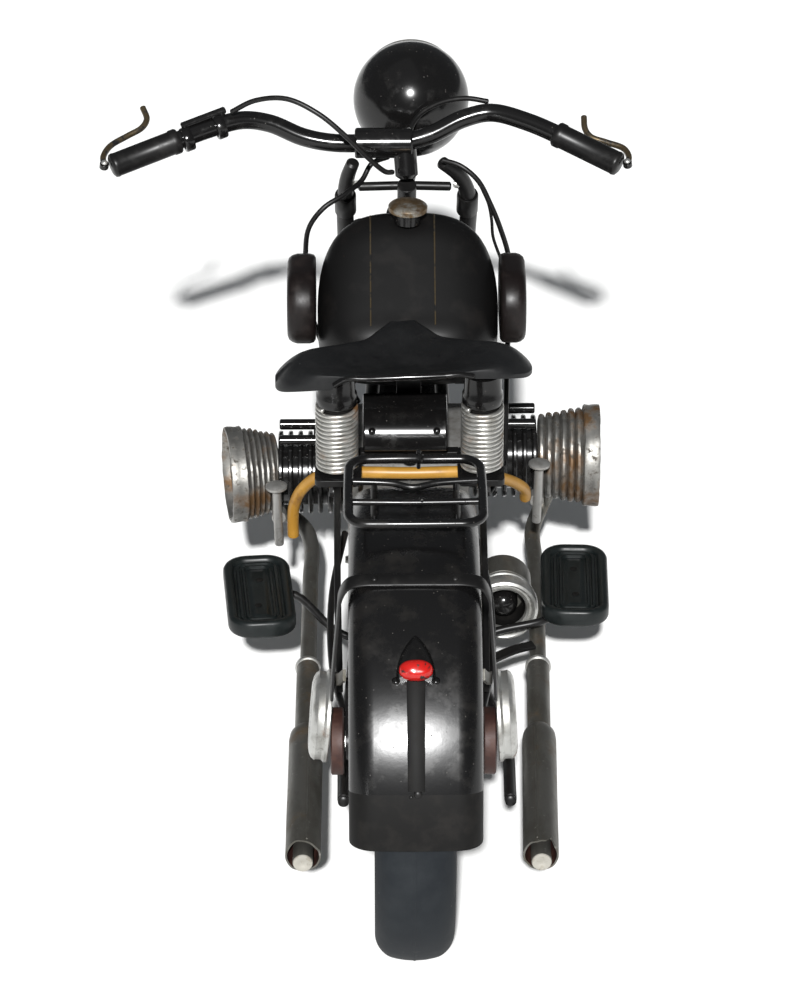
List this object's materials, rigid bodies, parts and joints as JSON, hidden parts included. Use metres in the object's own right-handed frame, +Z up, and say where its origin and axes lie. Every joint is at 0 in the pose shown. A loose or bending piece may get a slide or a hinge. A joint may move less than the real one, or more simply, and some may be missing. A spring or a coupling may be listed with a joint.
{
  "type": "tin toy motorcycle",
  "caption": "Hand-made tinplate model of an old flat-twin motorcycle with steering fork, free wheels, sprung saddle, rack and a fold-up centre stand.",
  "frame": {"origin": "on the ground, at the middle of the underside of the centre stand's flat foot bar", "axes": "+X to the rider's right, +Y forward, +Z up"},
  "size_m": [0.1315, 0.2905, 0.1431],
  "materials": {
    "black_enamel": "gloss black stoved enamel over tinplate, dusty, light orange peel",
    "satin_black": "satin black paint over steel wire and sheet",
    "tyre_rubber": "matte blue-grey moulded rubber with a centre seam",
    "black_rubber": "dark satin rubber",
    "tinplate": "bright tinplate with brown rust patina in the grooves",
    "cast_alloy": "dull silver metal with brown staining",
    "exhaust_steel": "dull grey steel tube with olive-brown patina",
    "aged_brass": "aged brass with a grey patina",
    "hose_rubber": "ochre rubber tube",
    "red_enamel": "chipped glossy red enamel bead",
    "clear_glass": "clear glass",
    "spring_wire": "bright close-wound steel wire",
    "rust_brown": "red-brown primed plate"
  },
  "bodies": {
    "chassis": {"rear_axle": "tinplate", "hub_cover_left": "tinplate", "hub_cover_right": "tinplate", "coupling_cup": "tinplate", "cylinder_head_left": "tinplate", "cylinder_head_right": "tinplate", "carburettor_left": "tinplate", "carburettor_right": "tinplate", "rear_mudguard": "black_enamel", "tail_lamp_hood": "black_enamel", "fuel_tank": "black_enamel", "tool_box": "black_enamel", "luggage_rack": "black_enamel", "mudguard_hoop": "satin_black", "rear_stay_left": "satin_black", "rear_stay_right": "satin_black", "main_frame": "satin_black", "lower_rail_left": "satin_black", "lower_rail_right": "satin_black", "barrel_left": "satin_black", "barrel_right": "satin_black", "saddle": "satin_black", "cable_left": "satin_black", "cable_right": "satin_black", "crankcase": "cast_alloy", "gearbox": "cast_alloy", "fuel_hose": "hose_rubber", "exhaust_pipe_left": "exhaust_steel", "exhaust_pipe_right": "exhaust_steel", "silencer_left": "exhaust_steel", "silencer_right": "exhaust_steel", "footboard_left": "black_rubber", "footboard_right": "black_rubber", "knee_pad_left": "black_rubber", "knee_pad_right": "black_rubber", "filler_cap": "aged_brass", "saddle_spring_left": "spring_wire", "saddle_spring_right": "spring_wire", "tail_lamp_lens": "red_enamel"},
    "fork": {"front_mudguard": "black_enamel", "front_axle": "tinplate", "fork_leg_left": "satin_black", "fork_leg_right": "satin_black", "fork_yoke": "satin_black", "handlebar": "black_enamel", "bar_clamp": "black_enamel", "grip_left": "satin_black", "grip_right": "satin_black", "headlamp_shell": "black_enamel", "headlamp_rim": "tinplate", "headlamp_lens": "clear_glass", "cable_bar_left": "satin_black", "cable_bar_right": "satin_black"},
    "rear_wheel": {"rear_wheel_tyre": "tyre_rubber", "rear_wheel_rim": "tinplate"},
    "front_wheel": {"front_wheel_tyre": "tyre_rubber", "front_wheel_rim": "tinplate"},
    "clutch_lever": {"clutch_lever": "aged_brass"},
    "brake_lever": {"brake_lever": "aged_brass"},
    "centre_stand": {"centre_stand": "satin_black"}
  },
  "joints": [
    {"name": "rear_wheel_spin", "type": "hinge", "parent": "chassis", "child": "rear_wheel", "pos_m": [0, -0.089, 0.049], "axis": [-1, 0, 0], "continuous": true},
    {"name": "steering", "type": "hinge", "parent": "chassis", "child": "fork", "pos_m": [0, 0.058, 0.12], "axis": [0, -0.4848, 0.8746], "range_deg": [-30, 30], "deforming": ["cable_left", "cable_right"]},
    {"name": "front_wheel_spin", "type": "hinge", "parent": "fork", "child": "front_wheel", "pos_m": [0, 0.10633, 0.039], "axis": [-1, 0, 0], "continuous": true},
    {"name": "clutch_lever_pull", "type": "hinge", "parent": "fork", "child": "clutch_lever", "pos_m": [-0.0748, 0.0504, 0.1262], "axis": [0.1506, -0.3515, 0.924], "range_deg": [0, 12]},
    {"name": "brake_lever_pull", "type": "hinge", "parent": "fork", "child": "brake_lever", "pos_m": [0.0545, 0.0498, 0.1264], "axis": [0.1506, 0.3515, -0.924], "range_deg": [0, 12]},
    {"name": "stand_fold", "type": "hinge", "parent": "chassis", "child": "centre_stand", "pos_m": [0, -0.007, 0.022], "axis": [-1, 0, 0], "range_deg": [0, 95]}
  ]
}
